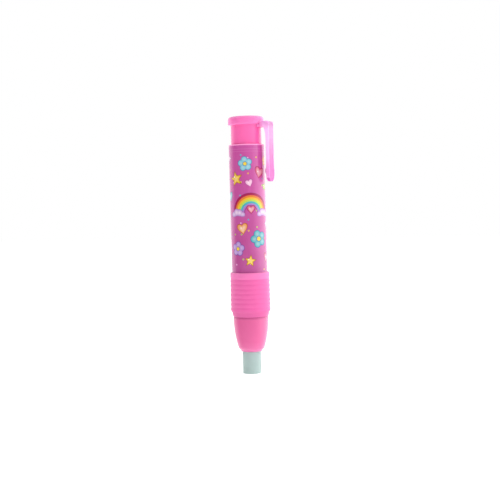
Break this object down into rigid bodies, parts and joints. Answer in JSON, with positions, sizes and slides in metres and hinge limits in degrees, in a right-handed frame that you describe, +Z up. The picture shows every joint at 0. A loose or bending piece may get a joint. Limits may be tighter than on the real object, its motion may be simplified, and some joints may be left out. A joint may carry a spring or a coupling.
{
  "type": "eraser pen",
  "caption": "Push-button eraser pen: slotted chuck round a long eraser stick, sprung button, pocket clip, tapered nose and soft ribbed grip.",
  "frame": {"origin": "centre of the flat tip of the eraser, which the pen stands on", "axes": "+Z up the pen's axis from the eraser to the button, +X from the axis to the pocket clip"},
  "size_m": [0.0189, 0.016, 0.1026],
  "materials": {
    "eraser": "matt, slightly translucent vinyl",
    "nose": "glossy moulded",
    "grip": "soft satin",
    "barrel": "glossy moulded",
    "film": "glossy printed film",
    "chuck": "natural acetal",
    "clutch_ring": "turned and tumbled",
    "bush": "natural acetal",
    "spring": "drawn spring wire",
    "tube": "natural polypropylene",
    "button": "glossy moulded",
    "clip": "glossy moulded, paler"
  },
  "bodies": {
    "casing": {"nose_cone": "nose", "rubber_grip": "grip", "barrel": "barrel", "printed_film": "film", "guide_bush": "bush", "return_spring": "spring"},
    "plunger": {"push_button": "button", "pocket_clip": "clip", "push_tube": "tube", "chuck": "chuck"},
    "clutch": {"clutch_ring": "clutch_ring"},
    "refill": {"eraser_stick": "eraser"}
  },
  "joints": [
    {"name": "button_press", "type": "slide", "parent": "casing", "child": "plunger", "axis": [0, 0, -1], "range_m": [0, 0.005], "stiffness_N_per_m": 400, "springref_m": -0.004, "deforming": ["return_spring"]},
    {"name": "clutch_travel", "type": "slide", "parent": "casing", "child": "clutch", "axis": [0, 0, -1], "range_m": [0, 0.0028]},
    {"name": "eraser_feed", "type": "slide", "parent": "casing", "child": "refill", "axis": [0, 0, -1], "range_m": [-0.0089, 0.045]}
  ],
  "couplings": [
    {"joint": "clutch_travel", "follows": "button_press", "ratio": 0.56}
  ]
}
